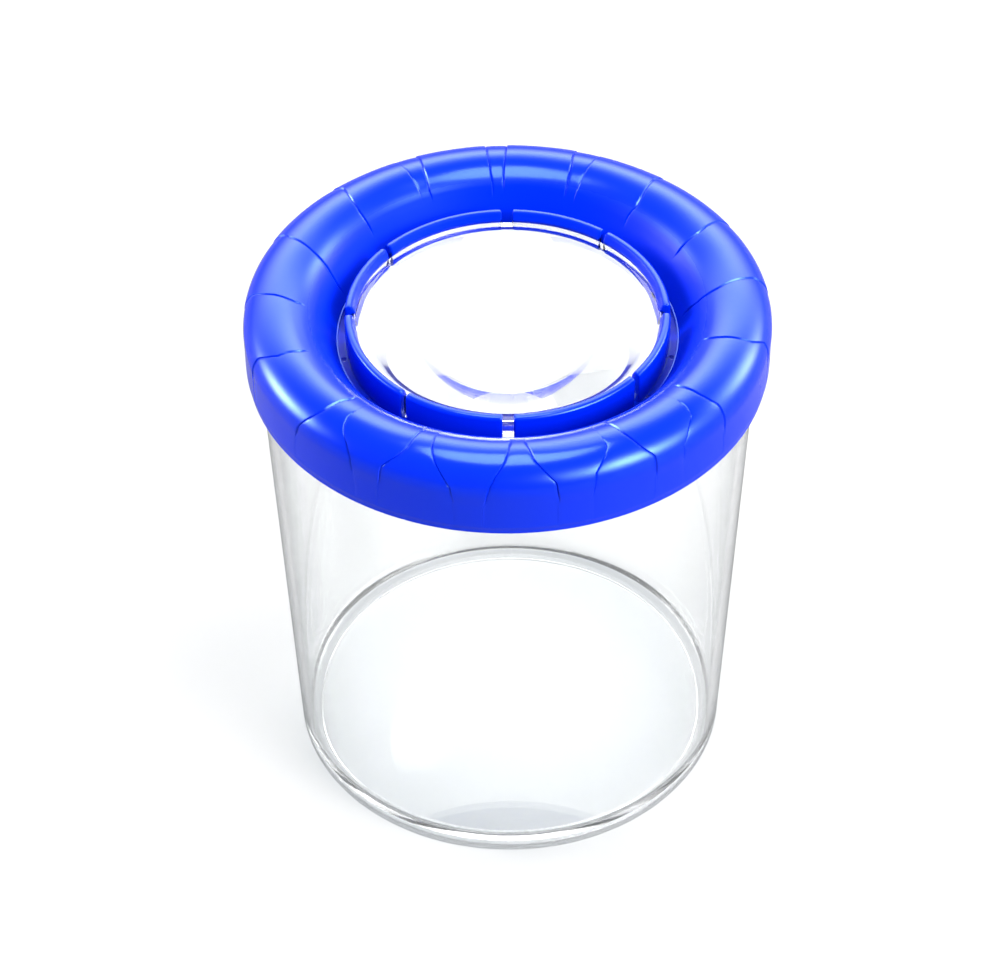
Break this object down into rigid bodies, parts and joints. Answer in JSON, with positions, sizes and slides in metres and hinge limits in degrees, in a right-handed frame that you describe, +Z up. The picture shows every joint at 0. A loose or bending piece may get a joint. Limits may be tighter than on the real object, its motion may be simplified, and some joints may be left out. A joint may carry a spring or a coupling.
{
  "type": "bug catcher jar",
  "caption": "Clear tapered jar with a puffy screw lid and a snap-in magnifying lens, for catching an insect and looking at it.",
  "frame": {"origin": "centre of the foot, on the surface that the jar stands on", "axes": "+Z up along the axis of the jar, lid and lens; -Y towards the viewer"},
  "size_m": [0.1046, 0.1046, 0.1142],
  "materials": {
    "clear_jar": "clear moulded, glossy, faintly grey-green at its edges",
    "blue_lid": "bright blue moulded, glossy, with soft creases",
    "clear_lens": "clear moulded, polished on both domes"
  },
  "bodies": {
    "jar": {"jar": "clear_jar"},
    "lens": {"lens": "clear_lens"},
    "lid": {"lid": "blue_lid"}
  },
  "joints": [
    {"name": "lid_rise", "type": "slide", "parent": "jar", "child": "lens", "axis": [0, 0, 1], "range_m": [0, 0.016]},
    {"name": "lid_turn", "type": "hinge", "parent": "lens", "child": "lid", "pos_m": [0, 0, 0.1], "axis": [0, 0, 1], "range_deg": [0, 360]}
  ],
  "couplings": [
    {"joint": "lid_rise", "follows": "lid_turn", "m_per_rad": 0.0025464}
  ]
}
